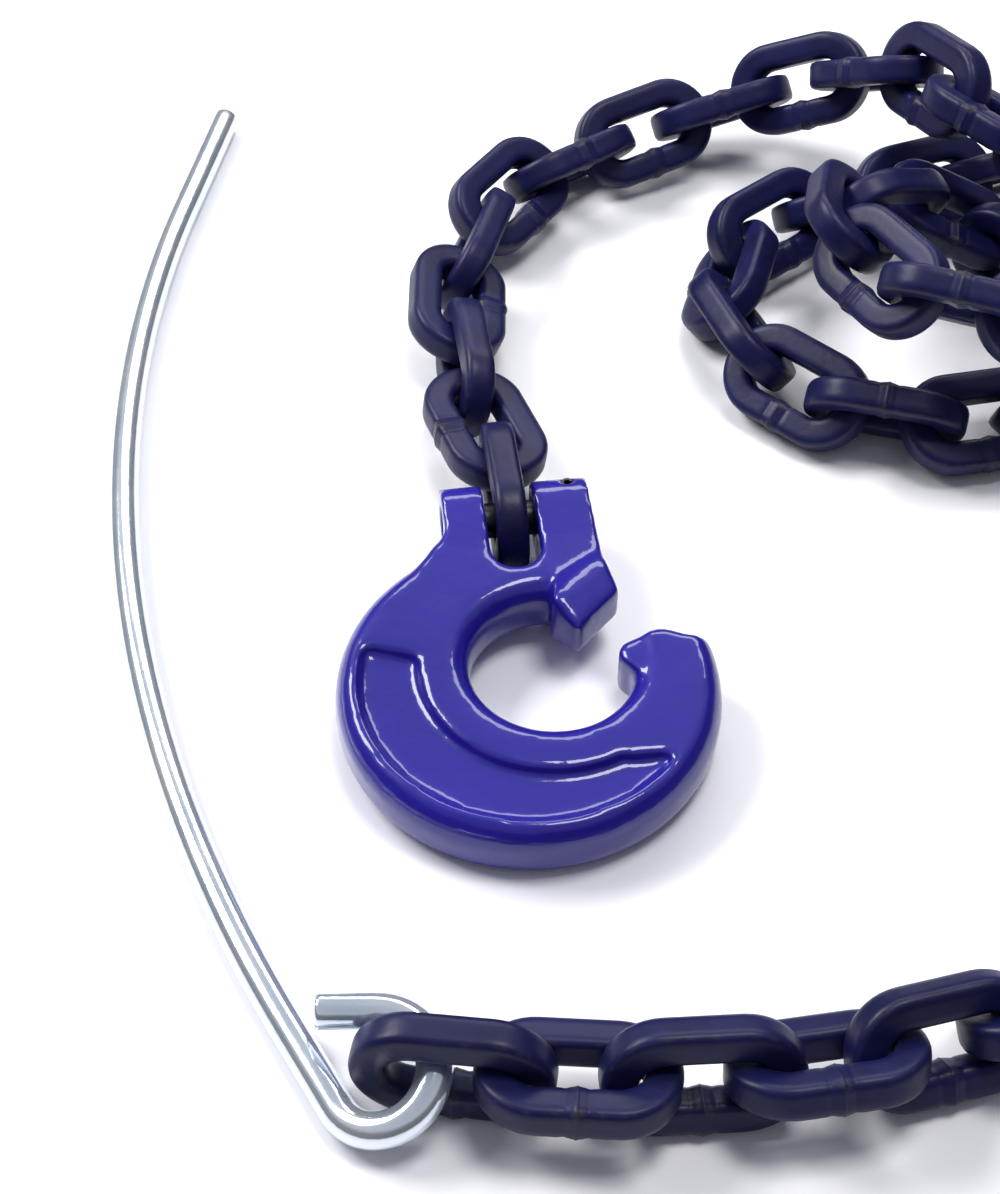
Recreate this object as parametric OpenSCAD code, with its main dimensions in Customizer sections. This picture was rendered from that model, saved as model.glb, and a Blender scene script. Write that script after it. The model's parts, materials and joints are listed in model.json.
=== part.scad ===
// Choker chain: square-link chain with a clevis choker hook at one end and a
// curved steel feeding needle at the other, laid out as a loose set on a floor.
// Units are millimetres. The floor is z = 0.

/* [Build] */
// Which node to draw, or "all" for the whole part

/* [Chain] */
// Side of the square link bar
bar = 8; // [6:0.5:10]
// Clear width inside a link
link_gap = 11; // [9:0.5:14]
// Clear length inside a link, which is the chain's pitch
pitch = 27.6; // [22:0.5:34]
// Bevel on the four long edges of the bar
bevel = 1.8; // [0.5:0.1:2.5]
// Distance between the bars of two joined links, centre to centre
seat = 9.6; // [9.4:0.1:10]
// Number of links
links = 56; // [10:1:56]

/* [Hook] */
// Outer radius of the hook bowl
bowl_r = 46.2; // [38:0.5:52]
// Radius of the opening in the bowl
eye_r = 19.8; // [16:0.5:26]
// Thickness of the forging
hook_t = 16.5; // [12:0.5:20]
// Clear gap between the clevis ears
slot_w = 12.6; // [11:0.1:15]
// Radius of the load pin
pin_r = 4.5; // [3:0.1:6]
// Radial clearance of the load pin in its bore
pin_fit = 0.05; // [0.01:0.01:0.1]
// Radius of the spring pin that locks the load pin
lock_r = 1.5; // [1:0.1:2]
// Depth of the crescent panel in the bowl's face
panel_d = 2.8; // [0.5:0.1:3]

/* [Needle] */
// Radius of the needle rod
rod_r = 4; // [3:0.1:6]
// Radius of the needle's eye, to the middle of the rod
ring_r = 12; // [9:0.5:16]
// Tilt of the eye out of the floor plane
ring_tilt = 25; // [10:1:40]
// Length of the straight tip
tip_l = 48; // [20:1:60]
// Chamfer at the end of the tip
tip_bevel = 1.2; // [0.5:0.1:2]

/* [Hidden] */
$fn = 64;
SHIFT = [-78.67, -18.76, 0.01];         // puts the origin under the middle of the set
HOOK_HEADING = 97;                  // direction from the bowl to the chain
HOOK_LIFT = 3.28;                   // the clevis end is held up by its link
PIN_AT = [2, 14, 14];               // middle of the load pin
RC = (link_gap + bar) / 2;          // middle radius of a link's bends
STR = (pitch - link_gap) / 2;       // half length of a link's straight sides
APEX = STR + RC;                    // link centre to the middle of its end bar

// The lay of the chain from the hook to the needle, one row for each stretch:
// [number of links, heading at its end, climb, roll]. The heading turns evenly
// through the stretch, and every second link stands a quarter turn further.
LAY = [
// run from the hook
  [1, 97, 1, 0], [1, 111, 0, 7], [1, 98, 0, 14], [1, 90, 0, 21], [1, 74, 1, 28],
  [1, 56, 0, 35], [1, 35, 0, 41], [1, 26, 5, 45], [1, 10, 14, 47],
  // up and over the heap
  [1, -18, 26, 54], [1, -46, 30, 64], [1, -64, 10, 68], [1, -50, 0, 66],
  [1, -43, 0, 62], [1, -83, 1, 60], [1, -122, 0, 58], [1, -161, 0, 55],
  [1, -200, 0, 52], [1, -241, -3, 46],
  // down inside it
  [1, -280, -14, 37], [1, -320, -26, 25], [1, -362, -26, 9], [1, -404, -18, -8],
  [1, -447, -3, -17], [1, -490, 0, -22],
  // round the foot of the heap
  [1, -529, 0, -27], [1, -555, 0, -32], [1, -582, 0, -38], [1, -610, 0, -42], [1, -645, 0, -45],
  [1, -680, 0, -45], [1, -700, 0, -45], [2, -700, 0, -45], [1, -700, 2, -45], [2, -750, 0, -45],
  [1, -778, 1, -45], [1, -805, -3, -45],
  // back to the needle
  [6, -833, 0, -45], [5, -871, 0, -45], [1, -877, 2, -52], [1, -884, 2, -59],
  [1, -891, 0, -66], [1, -896, 1, -73], [1, -903, 0, -80], [1, -907, -2, -87]
];

function before(i) = i <= 0 ? 0 : before(i - 1) + LAY[i - 1][0];
function row_of(k) = max([for (i = [0 : len(LAY) - 1]) if (before(i) <= k) i]);
function from_heading(i) = i == 0 ? LAY[0][1] : LAY[i - 1][1];
function heading(k) = let (i = row_of(k))
  from_heading(i) + (LAY[i][1] - from_heading(i)) * (k - before(i) + 1) / LAY[i][0];
function climb(k) = LAY[row_of(k)][2];
function roll(k) = (k % 2 == 0 ? 90 : 0) + LAY[row_of(k)][3];
function ahead(k) = [cos(heading(k)) * cos(climb(k)), sin(heading(k)) * cos(climb(k)), sin(climb(k))];
function unit(v) = v / norm(v);
// Direction of a link's end bars.
function across(k) = let (h = heading(k), x = -sin(climb(k)) * sin(roll(k)), y = cos(roll(k)))
  [cos(h) * x - sin(h) * y, sin(h) * x + cos(h) * y, cos(climb(k)) * sin(roll(k))];
// Two joined end bars cross, and this is the way square to both, from one link to the next.
function contact(k) = let (s = unit(cross(across(k - 1), across(k))))
  s * sign(s * (ahead(k - 1) + ahead(k)));
function place(k) = k == 0 ? PIN_AT + (APEX - seat) * ahead(0)
  : place(k - 1) + APEX * ahead(k - 1) - seat * contact(k) + APEX * ahead(k);

LINK_NAMES = [for (k = [1 : links]) str("link_", k < 10 ? "0" : "", k)];

// ---- chain ----

// Square bar section with bevelled edges.
module bar_section() {
  h = bar / 2;
  polygon([[-h + bevel, -h], [h - bevel, -h], [h, -h + bevel], [h, h - bevel],
           [h - bevel, h], [-h + bevel, h], [-h, h - bevel], [-h, -h + bevel]]);
}

// One end of a link: the bar bent through half a turn.
module link_bend() {
  translate([STR, 0, 0]) rotate([0, 0, -90]) rotate_extrude(angle = 180)
    translate([RC, 0]) bar_section();
}

// One chain link, centred, with its length along x.
module chain_link() {
  color([0.13, 0.14, 0.33]) union() {
    link_bend();
    rotate([0, 0, 180]) link_bend();
    for (s = [-1, 1])
      translate([-STR, s * RC, 0]) rotate([90, 0, 90])
        linear_extrude(2 * STR) bar_section();
  }
}

// Link k of the lay, counted from 0 at the hook.
module laid_link(k) {
  translate(SHIFT + place(k)) rotate([0, 0, heading(k)]) rotate([0, -climb(k), 0])
    rotate([roll(k), 0, 0]) chain_link();
}

// ---- hook ----
// The hook's own frame: the load pin's middle is at [0, 0, hook_t/2], x runs
// across the ears and y towards the chain.

DISC = [-2.1, -56.8];               // middle of the bowl's outer rim
EYE = [4.4, -51];                    // middle of the bowl's opening
EAR_T = 18;                         // height of the clevis ears
EAR_L = -17;                        // outer face of the left ear
EAR_R = 20.5;                       // outer face of the right ear
// Posts that the lug over the throat is stretched over: [x, y, foot, top above the face].
LUG = [[9.2, -26.4, 2, -0.2], [19.6, -20, 2, -0.2],         // where its roof starts
       [7, -36, 3, 2.8], [20.2, -24.8, 3, 1.6],             // ends of its ridge
       [11.6, -42.8, 6, -0.4], [22.4, -32.4, 6, -0.4]];     // ends of its nose
LOCK_AT = [15.6, 4.4];              // spring pin, across the load pin's edge
PIN_L = -15.5;                      // load pin's left end
PIN_R = 18.3;                       // load pin's right end

module hook_frame() {
  translate(SHIFT + PIN_AT) rotate([0, 0, HOOK_HEADING - 90]) rotate([HOOK_LIFT, 0, 0])
    translate([0, 0, -hook_t / 2]) children();
}

// Bowl with a rounded rim.
module bowl_disc() {
  translate(DISC) rotate_extrude()
    polygon([[0, 0], [bowl_r - 4, 0], [bowl_r - 1.2, 1.2], [bowl_r, 4], [bowl_r, hook_t - 5.5],
             [bowl_r - 1.4, hook_t - 2.4], [bowl_r - 4, hook_t], [0, hook_t]]);
}

// Shoulders between the bowl and the ears.
module shoulders() {
  linear_extrude(hook_t)
    polygon([[-30, -50], [-30, -30], [-25.5, -20], [-21, -13.8], [-18.6, -11.4], [EAR_L, -8.6],
             [EAR_L, -4], [EAR_R, -4], [21, -18], [21.2, -26], [4, -33], [-10, -50]]);
}

// Lug over the throat: a ridge stands across it and falls away to its nose and to the shank.
module lug() {
  post = 1;
  hull() for (at = LUG)
    translate([at[0], at[1], at[2]]) cylinder(r = post, h = hook_t + at[3] - at[2], $fn = 24);
}

// Nib at the hook's point, which leans into the bowl's opening.
module nib() {
  translate([0, 0, 1.5]) linear_extrude(hook_t - 2.5)
    polygon([[20.4, -49.6], [22, -47.9], [28.8, -45.5], [34, -50], [33, -60], [24.8, -58.4], [20.2, -52.6]]);
}

// One clevis ear: a rounded cheek lying in the y-z plane from x = a to x = b.
module ear(a, b) {
  translate([a, 0, hook_t / 2]) rotate([90, 0, 90]) linear_extrude(b - a) {
    circle(r = EAR_T / 2);
    polygon([[0, -EAR_T / 2], [0, EAR_T / 2], [-15, hook_t / 2], [-20, hook_t / 2],
             [-20, -hook_t / 2], [-15, -hook_t / 2]]);
  }
}

// The bowl's opening, bevelled at both faces.
module bowl_opening() {
  translate(EYE) rotate_extrude()
    polygon([[0, -1], [eye_r + 3.4, -1], [eye_r + 2.4, 0], [eye_r + 0.6, 2.4], [eye_r, 5],
             [eye_r, hook_t - 6], [eye_r + 1, hook_t - 2.6], [eye_r + 4.2, hook_t],
             [eye_r + 5.2, hook_t + 1], [0, hook_t + 1]]);
}

// The throat, from the lug's nose to the hook's point.
module throat() {
  translate([0, 0, -2]) linear_extrude(hook_t + 6)
    polygon([[4, -52.5], [4, -36], [8, -34], [21.2, -26], [21, -18], [EAR_R, -4], [EAR_R, 30],
             [70, 30], [70, -46], [38, -48.2], [32, -45.2], [28.8, -45.5], [22, -47.9],
             [20.4, -49.6], [20.2, -52.6], [20, -60]]);
}

// Crescent panel sunk in the bowl's upper face.
module panel() {
  intersection() {
    difference() {
      translate([DISC[0], DISC[1], hook_t - panel_d]) cylinder(r = bowl_r - 5.8, h = 10);
      translate([EYE[0] - 0.6, EYE[1] - 1.5, hook_t - panel_d - 1]) cylinder(r = eye_r + 12, h = 12);
    }
    translate([DISC[0], DISC[1], 0]) linear_extrude(hook_t + 10)
      polygon([[0, 0], [-80, 29], [-80, -80], [60, -80], [29, -25.5], [20, -25.5]]);
  }
}

module pin_bore() {
  translate([EAR_L - 5, 0, hook_t / 2]) rotate([0, 90, 0])
    cylinder(r = pin_r + pin_fit, h = PIN_R + 0.2 - EAR_L + 5);
}

module lock_bore() {
  translate([LOCK_AT[0], LOCK_AT[1], -0.4]) cylinder(r = lock_r, h = 30);
}

module hook() {
  color([0.17, 0.13, 0.62]) difference() {
    union() {
      difference() {
        union() {
          bowl_disc();
          shoulders();
          ear(EAR_L, -slot_w / 2);
          ear(slot_w / 2, EAR_R);
        }
        bowl_opening();
        throat();
      }
      lug();
      nib();
    }
    // slot for the chain link, round at its root
    translate([0, 0, -5]) linear_extrude(hook_t + 10) {
      translate([-slot_w / 2, -15.7]) square([slot_w, 40]);
      translate([0, -15.7]) circle(r = slot_w / 2);
    }
    panel();
    pin_bore();
    lock_bore();
  }
}

module load_pin() {
  color([0.12, 0.12, 0.14]) difference() {
    translate([PIN_L, 0, hook_t / 2]) rotate([0, 90, 0]) union() {
      cylinder(r1 = pin_r - 0.8, r2 = pin_r, h = 0.8);
      translate([0, 0, 0.8]) cylinder(r = pin_r, h = PIN_R - PIN_L - 0.8);
    }
    // groove that the spring pin locks into
    translate([LOCK_AT[0], LOCK_AT[1], -5]) cylinder(r = lock_r + pin_fit, h = 30);
  }
}

// Coiled sheet pin: a split tube driven in from above.
module spring_pin() {
  color([0.08, 0.08, 0.09]) translate([LOCK_AT[0], LOCK_AT[1], -0.2]) difference() {
    cylinder(r = lock_r, h = 15.6);
    translate([0, 0, -1]) cylinder(r = lock_r - 0.6, h = 18);
    translate([0, -0.3, -1]) cube([3, 0.6, 18]);
  }
}

// ---- needle ----
// The needle's own frame: the origin is where the rod leaves the eye, x runs along the rod.

EYE_BY_LINK = [-15, 1];             // middle of the eye, from the last link's middle
ROD_HEADING = 120;                  // direction of the rod where it leaves the eye
ROD_Z = 4.8;                        // height of the rod there
REST = 0.12;                        // slight fall of the rod towards its tip
LEAD = 23;                          // straight length next to the eye
ARC_L = 295;                        // length of the long bend
ARC_A = 40.6;                       // how far the long bend turns
TOP_A = 60;                         // how far the eye's level top turns
TOP_GAP = 1;                        // straight length between the eye's two bends
STUB = 13;                          // straight end of the eye

SWELL = 0.03;                       // how much fuller the bends are than the straight rod
LAP = 0.6;                          // how far a straight runs into a bend

// A straight over length l, which laps into the bend behind it and, if any, the bend ahead.
module rod_straight(l, ahead_lap = LAP) {
  translate([-LAP, 0, 0]) rotate([0, 90, 0]) cylinder(r = rod_r, h = l + LAP + ahead_lap);
}

// A bend to the right over length l, turning through angle a.
module rod_bend(l, a) {
  r = l / a * 180 / PI;
  translate([0, -r, 0]) rotate([0, 0, 90 - a]) rotate_extrude(angle = a)
    translate([r, 0]) circle(r = rod_r + SWELL);
}

// Moves to the far end of such a bend.
module after_bend(l, a) {
  r = l / a * 180 / PI;
  translate([r * sin(a), -r * (1 - cos(a)), 0]) rotate([0, 0, -a]) children();
}

// Long rod with its straight, slightly chamfered tip.
module rod() {
  rod_straight(LEAD);
  translate([LEAD, 0, 0]) {
    rod_bend(ARC_L, ARC_A);
    after_bend(ARC_L, ARC_A) {
      rod_straight(tip_l - tip_bevel, 0);
      translate([tip_l - tip_bevel, 0, 0]) rotate([0, 90, 0])
        cylinder(r1 = rod_r, r2 = rod_r - tip_bevel, h = tip_bevel);
    }
  }
}

// Eye: an inclined half turn, then a level stretch that ends beside the rod.
module eye() {
  mirror([1, 0, 0]) rotate([-ring_tilt, 0, 0]) {
    rod_bend(PI * ring_r, 180);
    after_bend(PI * ring_r, 180) rotate([-ring_tilt, 0, 0]) {
      rod_straight(TOP_GAP);
      translate([TOP_GAP, 0, 0]) {
        rod_bend(ring_r * TOP_A * PI / 180, TOP_A);
        after_bend(ring_r * TOP_A * PI / 180, TOP_A) rod_straight(STUB, 0);
      }
    }
  }
}

module needle() {
  last = place(links - 1);
  reach = ring_r * cos(ring_tilt);
  color([0.80, 0.83, 0.86])
  translate([SHIFT[0] + last[0] + EYE_BY_LINK[0] - reach * sin(ROD_HEADING),
             SHIFT[1] + last[1] + EYE_BY_LINK[1] + reach * cos(ROD_HEADING), ROD_Z])
  rotate([0, 0, ROD_HEADING]) rotate([0, REST, 0]) { rod(); eye(); }
}

// ---- choose what to draw ----
hook_frame() hook();
hook_frame() load_pin();
hook_frame() spring_pin();
needle();
for (k = [0 : links - 1]) laid_link(k);
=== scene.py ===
import json
import math

import bmesh
import bpy
import numpy as np
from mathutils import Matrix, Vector


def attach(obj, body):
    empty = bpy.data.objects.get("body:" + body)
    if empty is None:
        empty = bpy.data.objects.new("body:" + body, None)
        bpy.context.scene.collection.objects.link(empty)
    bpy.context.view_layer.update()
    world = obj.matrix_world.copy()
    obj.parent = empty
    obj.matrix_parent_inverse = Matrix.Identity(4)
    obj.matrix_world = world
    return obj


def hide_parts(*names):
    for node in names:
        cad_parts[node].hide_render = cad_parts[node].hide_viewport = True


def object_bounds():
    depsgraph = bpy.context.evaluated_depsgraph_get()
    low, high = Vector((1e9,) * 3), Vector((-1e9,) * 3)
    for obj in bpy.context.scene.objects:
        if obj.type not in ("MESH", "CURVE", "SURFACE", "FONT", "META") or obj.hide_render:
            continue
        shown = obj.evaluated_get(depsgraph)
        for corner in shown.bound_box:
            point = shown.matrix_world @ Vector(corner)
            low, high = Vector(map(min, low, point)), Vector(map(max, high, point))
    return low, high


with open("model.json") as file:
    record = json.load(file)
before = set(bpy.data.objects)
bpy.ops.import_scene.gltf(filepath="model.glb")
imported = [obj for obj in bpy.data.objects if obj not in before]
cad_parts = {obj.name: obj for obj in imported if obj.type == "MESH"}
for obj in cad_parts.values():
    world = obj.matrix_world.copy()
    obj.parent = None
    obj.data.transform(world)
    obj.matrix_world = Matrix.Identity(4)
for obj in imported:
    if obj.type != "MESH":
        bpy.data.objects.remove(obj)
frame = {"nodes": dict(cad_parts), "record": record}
CAD_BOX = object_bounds()
MM = 0.001

# ---------------------------------------------------------------- view
# The camera stands in front of the set and looks down on it at 47 degrees. What it
# aims at lies between the hook and the needle, so part of the heap is out of frame.
LOW, HIGH = (np.array(corner) for corner in CAD_BOX)
AIM_OFFSET = (0.0787, 0.0188)   # metres towards the left and front, from the middle of the set
AIM = Vector(((LOW[0] + HIGH[0]) / 2 - AIM_OFFSET[0], (LOW[1] + HIGH[1]) / 2 - AIM_OFFSET[1], 0))
CAMERA_PITCH = math.radians(47)
CAMERA_DISTANCE = 0.594         # metres

camera_data = bpy.data.cameras.new("camera")
camera_data.sensor_fit = "VERTICAL"
camera_data.sensor_height = 36
camera_data.lens = 70.25
camera_data.clip_start = 0.01
camera = bpy.data.objects.new("camera", camera_data)
camera.location = AIM + CAMERA_DISTANCE * Vector((0, -math.cos(CAMERA_PITCH), math.sin(CAMERA_PITCH)))
camera.rotation_euler = (math.pi / 2 - CAMERA_PITCH, 0, 0)
bpy.context.scene.collection.objects.link(camera)
bpy.context.scene.camera = camera
bpy.context.scene.view_settings.view_transform = "Standard"


# ---------------------------------------------------------------- floor and lights
# A white table top under broad softboxes. The brightest box stands high on the left,
# so the shadows are soft and fall to the right.
def new_material(name, base, roughness, metallic=0.0):
    """A material with its Principled shader's own sockets set, and its node tree to add to."""
    material = bpy.data.materials.new(name)
    material.use_nodes = True
    shader = material.node_tree.nodes["Principled BSDF"]
    shader.inputs["Base Color"].default_value = (*base, 1)
    shader.inputs["Roughness"].default_value = roughness
    shader.inputs["Metallic"].default_value = metallic
    return material, material.node_tree, shader


def node(tree, kind, **settings):
    """A new shader node. Settings whose names are sockets set those, and the rest are its properties."""
    new = tree.nodes.new(kind)
    for key, value in settings.items():
        if key in new.inputs:
            new.inputs[key].default_value = value
        else:
            setattr(new, key, value)
    return new


def ramp(tree, factor, stops):
    """A colour ramp fed by factor, with stops as (position, colour)."""
    new = tree.nodes.new("ShaderNodeValToRGB")
    band = new.color_ramp
    while len(band.elements) < len(stops):
        band.elements.new(0.5)
    for element, (position, colour) in zip(band.elements, stops):
        element.position = position
        element.color = (*colour, 1)
    tree.links.new(factor, new.inputs["Fac"])
    return new.outputs["Color"]


def noise(tree, place, scale, detail, roughness=0.5):
    """A noise pattern on place, as a factor."""
    new = node(tree, "ShaderNodeTexNoise", Scale=scale, Detail=detail, Roughness=roughness)
    tree.links.new(place, new.inputs["Vector"])
    return new.outputs["Fac"]


def remapped(tree, factor, low, high):
    """The factor's range 0 to 1 mapped to low to high."""
    new = node(tree, "ShaderNodeMapRange")
    new.inputs["To Min"].default_value = low
    new.inputs["To Max"].default_value = high
    tree.links.new(factor, new.inputs["Value"])
    return new.outputs["Result"]


def relief(tree, height, strength, distance, sockets):
    """A bump made from height, fed to each of the shader's normal sockets."""
    new = node(tree, "ShaderNodeBump", Strength=strength, Distance=distance)
    tree.links.new(height, new.inputs["Height"])
    for socket in sockets:
        tree.links.new(new.outputs["Normal"], socket)


FLOOR_HALF = 4.0              # metres
floor_mesh = bpy.data.meshes.new("floor")
floor_mesh.from_pydata(
    [(-FLOOR_HALF, -FLOOR_HALF, 0), (FLOOR_HALF, -FLOOR_HALF, 0),
     (FLOOR_HALF, FLOOR_HALF, 0), (-FLOOR_HALF, FLOOR_HALF, 0)], [], [(0, 1, 2, 3)])
floor = bpy.data.objects.new("floor", floor_mesh)
bpy.context.scene.collection.objects.link(floor)
floor_material, floor_tree, floor_shader = new_material("white_table", (0.93, 0.92, 0.95), 0.35)
floor_mesh.materials.append(floor_material)

world = bpy.data.worlds.new("studio")
world.use_nodes = True
bpy.context.scene.world = world


# the room is dark at eye level and pale overhead, so bright metal has dark streaks in it
sky = world.node_tree
direction = node(sky, "ShaderNodeTexCoord").outputs["Generated"]
split = node(sky, "ShaderNodeSeparateXYZ")
sky.links.new(direction, split.inputs["Vector"])
room = ramp(sky, split.outputs["Z"],
            [(0.0, (0.03, 0.03, 0.035)), (0.42, (0.05, 0.05, 0.06)),
             (0.62, (0.38, 0.39, 0.43)), (1.0, (0.28, 0.29, 0.34))])
sky.links.new(room, sky.nodes["Background"].inputs["Color"])


def softbox(name, place, size, power):
    """A rectangular light of size (width, height), aimed at the middle of the view."""
    data = bpy.data.lights.new(name, "AREA")
    data.shape = "RECTANGLE"
    data.size, data.size_y = size
    data.energy = power
    light = bpy.data.objects.new(name, data)
    light.location = place
    light.rotation_euler = (AIM - Vector(place)).to_track_quat("-Z", "Y").to_euler()
    bpy.context.scene.collection.objects.link(light)


softbox("left_softbox", (-0.95, 0.45, 1.0), (0.75, 0.5), 19)
softbox("back_softbox", (0.15, 1.2, 1.05), (1.3, 0.35), 9)
softbox("top_softbox", (0.25, 0.05, 1.5), (0.5, 0.5), 11)


# ---------------------------------------------------------------- chain
# Each link is cut from square steel bar, bent round and butt welded in the middle of
# one long side, then dipped in dark blue paint. The paint is satin, and it is rubbed
# thin along the bar's edges and where the links bear on each other.
BAR = 8 * MM
LINK_BEND = 9.5 * MM          # middle radius of the bends
LINK_HALF = 8.3 * MM          # half length of the straight sides
SQUARENESS = 5.5              # exponent of the bar's rounded square section
WELD_SWELL = 0.34 * MM        # how far the weld stands proud of the bar
WELD_HALF = 1.5 * MM          # half width of the weld
FLASH = 0.16 * MM             # height of the thin flash line down the weld's middle
PATH_STEPS = 112
SECTION_STEPS = 28


def surface(name, points, close_u=True, close_v=True):
    """A mesh object from a grid of points, points[i, j] for step i of u and step j of v.

    Each cell of the grid is one face. Faces are turned outwards by the sign of the
    enclosed volume, which is the sum of a . (b x c) / 6 over the faces' triangles.
    """
    n_u, n_v = points.shape[:2]
    i = np.arange(n_u if close_u else n_u - 1)
    j = np.arange(n_v if close_v else n_v - 1)
    i, j = (grid.ravel() for grid in np.meshgrid(i, j, indexing="ij"))
    i_next, j_next = (i + 1) % n_u, (j + 1) % n_v
    faces = np.stack([i * n_v + j, i_next * n_v + j, i_next * n_v + j_next, i * n_v + j_next], 1)
    flat = points.reshape(-1, 3)
    a, b, c, d = (flat[faces[:, k]] for k in range(4))
    volume = np.sum(a * np.cross(b, c)) + np.sum(a * np.cross(c, d))
    if volume < 0:
        faces = faces[:, ::-1]
    mesh = bpy.data.meshes.new(name)
    mesh.from_pydata(flat.tolist(), [], faces.tolist())
    mesh.shade_smooth()
    mesh.update()
    piece = bpy.data.objects.new(name, mesh)
    bpy.context.scene.collection.objects.link(piece)
    return piece


def link_points(lumps):
    """The link's surface in its own frame, x along it and y across it, and how rubbed it is.

    Along u the bar's middle runs round a stadium: with t the turned angle, it is at
    (c + R sin t, R cos t), where c slides between the two bends' centres. Round v the
    section is the rounded square r = h (|cos v|^n + |sin v|^n)^(-1/n). The weld adds a
    bell of height WELD_SWELL at u = 0, and lumps adds slow waves with random phases.
    """
    arc = math.pi * LINK_BEND
    length = 4 * LINK_HALF + 2 * arc
    u = np.arange(PATH_STEPS) / PATH_STEPS
    # finer steps near the weld
    s = length * (u - 0.72 * np.sin(2 * math.pi * u) / (2 * math.pi))
    turned = np.clip((s - LINK_HALF) / LINK_BEND, 0, math.pi)
    turned += np.clip((s - 3 * LINK_HALF - arc) / LINK_BEND, 0, math.pi)
    centre = np.clip(s, 0, LINK_HALF) - np.clip(s - LINK_HALF - arc, 0, 2 * LINK_HALF)
    centre += np.clip(s - length + LINK_HALF, 0, LINK_HALF)
    middle = np.stack([centre + LINK_BEND * np.sin(turned), LINK_BEND * np.cos(turned), 0 * s], 1)
    outward = np.stack([np.sin(turned), np.cos(turned), 0 * s], 1)
    v = 2 * math.pi * (np.arange(SECTION_STEPS) + 0.5) / SECTION_STEPS
    power_sum = np.abs(np.cos(v)) ** SQUARENESS + np.abs(np.sin(v)) ** SQUARENESS
    radius = BAR / 2 * power_sum ** (-1 / SQUARENESS)
    from_weld = np.minimum(s, length - s)
    swell = WELD_SWELL * np.exp(-(from_weld / WELD_HALF) ** 2)
    swell += FLASH * np.exp(-(from_weld / (0.3 * MM)) ** 2)
    swell -= 0.5 * WELD_SWELL * np.exp(-((from_weld - 2.6 * MM) / (0.7 * MM)) ** 2)
    waves = lumps[0] * np.sin(3 * turned + lumps[1])[:, None] * np.cos(2 * v + lumps[2])[None]
    grown = radius[None] + swell[:, None] + 0.1 * MM * waves
    points = (middle[:, None] + (grown * np.cos(v)[None])[..., None] * outward[:, None]
              + (grown * np.sin(v)[None])[..., None] * np.array([0, 0, 1.0]))
    bearing = np.abs(np.sin(turned)) ** 6
    inside = np.clip(-np.cos(v), 0, 1)
    rubbed = 0.75 * np.abs(np.sin(2 * v))[None] ** 4 + 0.6 * bearing[:, None] * inside[None]
    return points, np.clip(rubbed + 0.5 * np.exp(-(from_weld / WELD_HALF) ** 2)[:, None], 0, 1)


def own_axes(mesh):
    """The middle and the long, wide and thin directions of a link, from its surface.

    They are the area-weighted mean and the eigenvectors of the covariance of its triangles.
    """
    corners = np.empty(len(mesh.vertices) * 3)
    mesh.vertices.foreach_get("co", corners)
    corners = corners.reshape(-1, 3)
    mesh.calc_loop_triangles()
    triangles = np.empty(len(mesh.loop_triangles) * 3, dtype=np.int32)
    mesh.loop_triangles.foreach_get("vertices", triangles)
    a, b, c = (corners[triangles.reshape(-1, 3)[:, k]] for k in range(3))
    area = np.linalg.norm(np.cross(b - a, c - a), axis=1)[:, None]
    middle = np.sum(area * (a + b + c) / 3, 0) / np.sum(area)
    spread = sum((area * (p - middle)).T @ (p - middle) for p in (a, b, c, (a + b + c) / 3))
    axes = np.linalg.eigh(spread)[1][:, ::-1]
    axes[:, 2] = np.cross(axes[:, 0], axes[:, 1])
    return middle, axes


PAINT_DARK = (0.0042, 0.0048, 0.038)
PAINT_LIGHT = (0.0085, 0.0095, 0.072)
RUBBED = (0.032, 0.025, 0.036)


def satin_navy_paint():
    """Dark blue dip paint in uneven patches, which gives way to RUBBED where it is worn."""
    material, tree, shader = new_material("satin_navy_paint", PAINT_DARK, 0.42)
    shader.inputs["Specular IOR Level"].default_value = 0.22
    shader.inputs["Coat Weight"].default_value = 0.06
    shader.inputs["Coat Roughness"].default_value = 0.25
    place = node(tree, "ShaderNodeTexCoord").outputs["Object"]
    patches = noise(tree, place, 55.0, 4.0, 0.6)
    paint = ramp(tree, patches, [(0.32, PAINT_DARK), (0.72, PAINT_LIGHT)])
    grit = noise(tree, place, 420.0, 3.0)
    wear = node(tree, "ShaderNodeAttribute", attribute_name="rubbed")
    worn = node(tree, "ShaderNodeMath", operation="MULTIPLY")
    tree.links.new(wear.outputs["Fac"], worn.inputs[0])
    tree.links.new(grit, worn.inputs[1])
    mask = ramp(tree, worn.outputs["Value"], [(0.36, (0, 0, 0)), (0.52, (0.75, 0.75, 0.75))])
    blend = node(tree, "ShaderNodeMix", data_type="RGBA")
    tree.links.new(mask, blend.inputs["Factor"])
    tree.links.new(paint, blend.inputs["A"])
    blend.inputs["B"].default_value = (*RUBBED, 1)
    tree.links.new(blend.outputs["Result"], shader.inputs["Base Color"])
    tree.links.new(remapped(tree, patches, 0.33, 0.52), shader.inputs["Roughness"])
    relief(tree, grit, 0.22, 0.0004, [shader.inputs["Normal"]])
    return material


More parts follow.
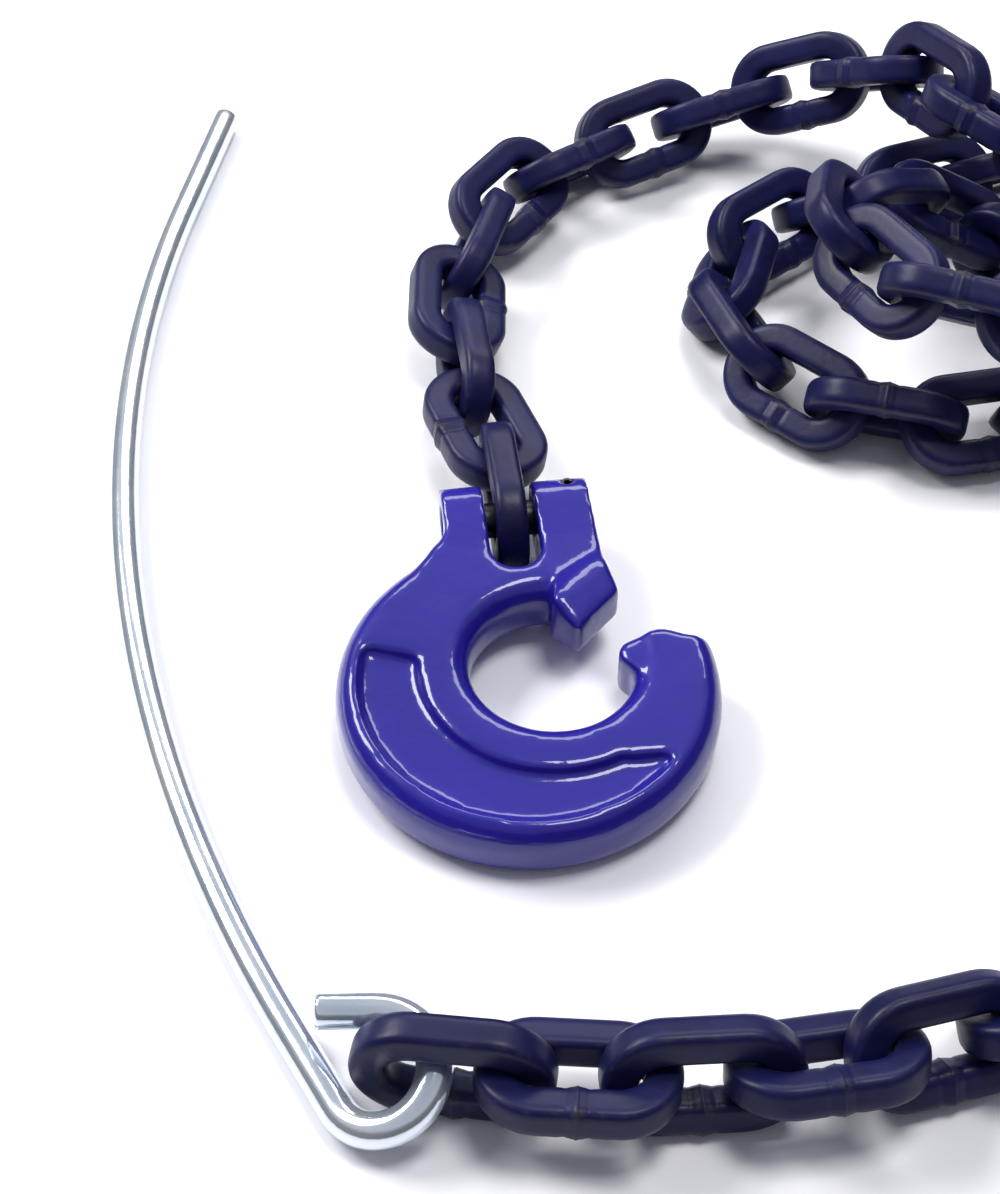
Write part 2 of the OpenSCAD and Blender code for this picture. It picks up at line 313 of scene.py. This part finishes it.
body_with = {name: body for body, names in frame["record"]["behaviour"]["bodies"].items() for name in names}
random = np.random.default_rng(8)
chain_material = satin_navy_paint()
PLAIN_WAY = (0, 0.7, 0.3)     # the plain sides face this way, and the welded sides face away from it
link_names = sorted(name for name in body_with if name.startswith("link_"))
for name in link_names:
    middle, axes = own_axes(frame["nodes"][name].data)
    if axes[1, 1] * PLAIN_WAY[1] + axes[2, 1] * PLAIN_WAY[2] > 0:
        axes = axes * np.array([1, -1, -1])
    lumps = (random.uniform(0.4, 1), random.uniform(0, 6.28), random.uniform(0, 6.28))
    points, rubbed = link_points(lumps)
    bar = surface(f"bar_of_{name}", middle + points @ axes.T)
    attribute = bar.data.attributes.new("rubbed", "FLOAT", "POINT")
    attribute.data.foreach_set("value", rubbed.ravel().astype(np.float32))
    bar.data.materials.append(chain_material)
    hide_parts(name)
    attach(bar, body_with[name])


# ---------------------------------------------------------------- hook
# A drop forging with two clevis ears, a thick round bowl and a lug over the throat. It
# is ground smooth and powder coated in glossy ultramarine, so no edge on it is sharp.
VOXEL = 0.62 * MM
EVEN_ROUNDS = 5               # smoothing steps on the whole forging
BODY_ROUNDS = 16              # further steps on its body, away from the bores
BORE_REACH = 11 * MM          # how far from the load pin's axis the further steps start
BORE_BLEND = 8 * MM           # over what distance they come in


def joined_copy(source, name):
    """A copy of a node's mesh with its loose triangles merged, remeshed to even quads."""
    copy = bpy.data.objects.new(name, source.data.copy())
    bpy.context.scene.collection.objects.link(copy)
    work = bmesh.new()
    work.from_mesh(copy.data)
    bmesh.ops.remove_doubles(work, verts=work.verts, dist=0.01 * MM)
    work.to_mesh(copy.data)
    work.free()
    remesh = copy.modifiers.new("even", "REMESH")
    remesh.mode = "VOXEL"
    remesh.voxel_size = VOXEL
    graph = bpy.context.evaluated_depsgraph_get()
    mesh = bpy.data.meshes.new_from_object(copy.evaluated_get(graph))
    copy.modifiers.clear()
    copy.data = mesh
    return copy


def rounded(mesh, joint):
    """Softens edges: each step moves a vertex 0.6 of the way to its neighbours' mean.

    The first steps act everywhere. The further ones are scaled by a weight that is 0
    near the joint's axis and rises to 1 away from it, so the bores stay round.
    """
    points = np.empty(len(mesh.vertices) * 3)
    mesh.vertices.foreach_get("co", points)
    points = points.reshape(-1, 3)
    edges = np.empty(len(mesh.edges) * 2, dtype=np.int64)
    mesh.edges.foreach_get("vertices", edges)
    here = np.concatenate([edges[0::2], edges[1::2]])
    there = np.concatenate([edges[1::2], edges[0::2]])
    neighbours = np.bincount(here, minlength=len(points))[:, None]
    from_pin = points - np.array(joint["pos_m"])
    away = np.linalg.norm(np.cross(from_pin, np.array(joint["axis"])), axis=1)
    weight = np.clip((away - BORE_REACH) / BORE_BLEND, 0, 1)[:, None]
    for step in range(EVEN_ROUNDS + BODY_ROUNDS):
        mean = np.stack([np.bincount(here, points[there, k], len(points)) for k in range(3)], 1) / neighbours
        points = points + 0.6 * (weight if step >= EVEN_ROUNDS else 1) * (mean - points)
    mesh.vertices.foreach_set("co", points.ravel())
    mesh.shade_smooth()
    mesh.update()


def glossy_ultramarine():
    """Powder coat: deep blue under a clear glossy skin with slow hills and fine orange peel."""
    material, tree, shader = new_material("glossy_ultramarine", (0.012, 0.006, 0.23), 0.4)
    shader.inputs["Specular IOR Level"].default_value = 0.2
    shader.inputs["Coat Weight"].default_value = 0.85
    shader.inputs["Coat Roughness"].default_value = 0.04
    place = node(tree, "ShaderNodeTexCoord").outputs["Object"]
    cloud = noise(tree, place, 28.0, 3.0)
    coat = ramp(tree, cloud, [(0.3, (0.010, 0.005, 0.21)), (0.7, (0.014, 0.007, 0.26))])
    tree.links.new(coat, shader.inputs["Base Color"])
    peel = noise(tree, place, 210.0, 2.0)
    hills = noise(tree, place, 75.0, 2.0)
    both = node(tree, "ShaderNodeMath", operation="MULTIPLY_ADD")
    both.inputs[1].default_value = 2.2
    tree.links.new(hills, both.inputs[0])
    tree.links.new(peel, both.inputs[2])
    relief(tree, both.outputs["Value"], 0.3, 0.0004, [shader.inputs["Coat Normal"], shader.inputs["Normal"]])
    return material


forging = joined_copy(frame["nodes"]["hook"], "hook_forging")
swing = next(joint for joint in frame["record"]["behaviour"]["joints"] if joint["name"] == "hook_swing")
rounded(forging.data, swing)
forging.data.materials.clear()
forging.data.materials.append(glossy_ultramarine())
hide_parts("hook")
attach(forging, body_with["hook"])


# ---------------------------------------------------------------- pins
# The load pin is a ground steel dowel with a black oxide finish, and the spring pin is
# rolled spring steel driven in through the right ear to lock it.
def blackened_steel():
    """Ground steel under thin black oxide, with paler scratches."""
    material, tree, shader = new_material("blackened_steel", (0.05, 0.05, 0.055), 0.38, 0.85)
    place = node(tree, "ShaderNodeTexCoord").outputs["Object"]
    scratch = noise(tree, place, 260.0, 5.0, 0.65)
    steel = ramp(tree, scratch, [(0.35, (0.02, 0.02, 0.024)), (0.75, (0.11, 0.105, 0.1))])
    tree.links.new(steel, shader.inputs["Base Color"])
    relief(tree, scratch, 0.25, 0.0002, [shader.inputs["Normal"]])
    return material


pin_material = blackened_steel()
for name in ("load_pin", "spring_pin"):
    pin = frame["nodes"][name]
    pin.data.materials.clear()
    pin.data.materials.append(pin_material)


# ---------------------------------------------------------------- needle
# A length of drawn steel rod bent into one long curve, cropped square at the tip and
# turned into an eye through the last link. It is zinc plated and left bright.
ROD = 4 * MM
LEAD = 23 * MM                # straight length next to the eye
SWEEP = 295 * MM              # length of the long bend
SWEEP_TURN = math.radians(40.6)
TIP = 48 * MM                 # straight length at the tip
EYE = 12 * MM                 # middle radius of the eye
EYE_TILT = math.radians(25)
EYE_TOP_TURN = math.radians(60)
EYE_GAP = 1 * MM              # straight length between the eye's two bends
EYE_STUB = 13 * MM            # straight end of the eye
ROD_REST = math.radians(0.12)
CROP = 1.1 * MM               # rounding at the two cropped ends
ROD_SIDES = 40
ROD_STEP = 1.6 * MM


def turned_about(axis, angle):
    """The rotation by angle about a unit axis, as I + sin a K + (1 - cos a) K K."""
    k = np.array([[0, -axis[2], axis[1]], [axis[2], 0, -axis[0]], [-axis[1], axis[0], 0]])
    return np.eye(3) + math.sin(angle) * k + (1 - math.cos(angle)) * k @ k


def run(start, along, up, length, turn):
    """Points and directions along a stretch of rod, and the state at its end.

    The rod starts at start heading along, and turns to its right about up. At
    distance s it heads along rotated by -turn s / length, so a bend is a circle of
    radius length / turn, and a straight has turn 0.
    """
    steps = max(2, int(round(length / ROD_STEP)))
    s = np.linspace(0, length, steps + 1)[:, None]
    left = np.cross(up, along)
    if turn == 0:
        points, heads = start + s * along, np.repeat(along[None], steps + 1, 0)
    else:
        radius = length / turn
        angle = s / radius
        points = start + radius * (np.sin(angle) * along - (1 - np.cos(angle)) * left)
        heads = np.cos(angle) * along - np.sin(angle) * left
    return points, heads, points[-1], heads[-1]


def rod_surface(name, points, heads):
    """A round rod along points: p + r (cos v a + sin v b), closed and rounded at both ends.

    a is the start's side direction, carried along by removing its part along each
    heading, and b = heading x a. Near an end r falls as a quarter circle of radius CROP.
    """
    side = np.cross(heads[0], [0, 0, 1.0])
    sides = []
    for head in heads:
        side = side - head * np.dot(side, head)
        side = side / np.linalg.norm(side)
        sides.append(side)
    sides = np.array(sides)
    other = np.cross(heads, sides)
    v = 2 * math.pi * np.arange(ROD_SIDES) / ROD_SIDES
    ring = np.cos(v)[None, :, None] * sides[:, None] + np.sin(v)[None, :, None] * other[:, None]
    fall = np.linspace(0, math.pi / 2, 5)
    cap_r = np.concatenate([[0, 0.5 * (ROD - CROP)], ROD - CROP + CROP * np.sin(fall)])
    cap_s = np.concatenate([[0, 0], CROP * (1 - np.cos(fall))])
    start = points[0] + cap_s[:, None, None] * heads[0] + cap_r[:, None, None] * ring[0][None]
    end = points[-1] - cap_s[::-1][:, None, None] * heads[-1] + cap_r[::-1][:, None, None] * ring[-1][None]
    trim = int(math.ceil(CROP / ROD_STEP)) + 1
    body = points[trim:-trim, None] + ROD * ring[trim:-trim]
    piece = surface(name, np.concatenate([start, body, end]), close_u=False)
    work = bmesh.new()
    work.from_mesh(piece.data)
    bmesh.ops.remove_doubles(work, verts=work.verts, dist=0.001 * MM)
    work.to_mesh(piece.data)
    work.free()
    piece.data.shade_smooth()
    return piece


def bright_zinc():
    """Bright zinc plate with a cool, faintly uneven tint and fine lines from drawing the rod."""
    material, tree, shader = new_material("bright_zinc", (0.80, 0.86, 0.92), 0.12, 0.78)
    place = node(tree, "ShaderNodeTexCoord").outputs["Object"]
    bloom = noise(tree, place, 90.0, 4.0)
    plate = ramp(tree, bloom,
                 [(0.3, (0.72, 0.83, 0.95)), (0.55, (0.82, 0.88, 0.96)), (0.8, (0.88, 0.90, 0.90))])
    tree.links.new(plate, shader.inputs["Base Color"])
    tree.links.new(remapped(tree, bloom, 0.06, 0.2), shader.inputs["Roughness"])
    draw_lines = noise(tree, place, 600.0, 2.0)
    relief(tree, draw_lines, 0.12, 0.0002, [shader.inputs["Normal"]])
    return material


tip_mount = next(mount for mount in frame["record"]["mounts"] if mount["name"] == "needle_tip")
tip_way = np.array(tip_mount["axis"])
rod_heading = math.atan2(tip_way[1], tip_way[0]) + SWEEP_TURN
level = turned_about(np.array([0, 0, 1.0]), rod_heading) @ turned_about(np.array([0, 1.0, 0]), ROD_REST)
rod_way, rod_up = level[:, 0], level[:, 2]
MOUNT_BACK = 23.4 * MM        # from the long bend's end to the mount's point
bend_end = np.array(tip_mount["pos_m"]) - MOUNT_BACK * tip_way
bend_shape = run(np.zeros(3), rod_way, rod_up, SWEEP, SWEEP_TURN)
bend_start = bend_end - bend_shape[2]
rod_start = bend_start - LEAD * rod_way
lead = run(rod_start, rod_way, rod_up, LEAD, 0)
sweep = run(lead[2], rod_way, rod_up, SWEEP, SWEEP_TURN)
tip = run(sweep[2], sweep[3], rod_up, TIP, 0)

# the eye is followed backwards from the rod's start, tilted up about the rod
eye_up = turned_about(rod_way, -EYE_TILT) @ -rod_up
eye = run(rod_start, -rod_way, eye_up, math.pi * EYE, math.pi)
level_up = -rod_up
gap = run(eye[2], eye[3], level_up, EYE_GAP, 0)
top = run(gap[2], gap[3], level_up, EYE * EYE_TOP_TURN, EYE_TOP_TURN)
stub = run(top[2], top[3], level_up, EYE_STUB, 0)
backward = [(part[0][::-1][:-1], -part[1][::-1][:-1]) for part in (stub, top, gap, eye)]
forward = [(part[0][:-1], part[1][:-1]) for part in (lead, sweep)]
stretches = backward + forward + [tip[:2]]
points = np.concatenate([stretch[0] for stretch in stretches])
heads = np.concatenate([stretch[1] for stretch in stretches])
rod = rod_surface("needle_rod", points, heads)

rod.data.materials.append(bright_zinc())
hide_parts("needle")
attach(rod, body_with["needle"])
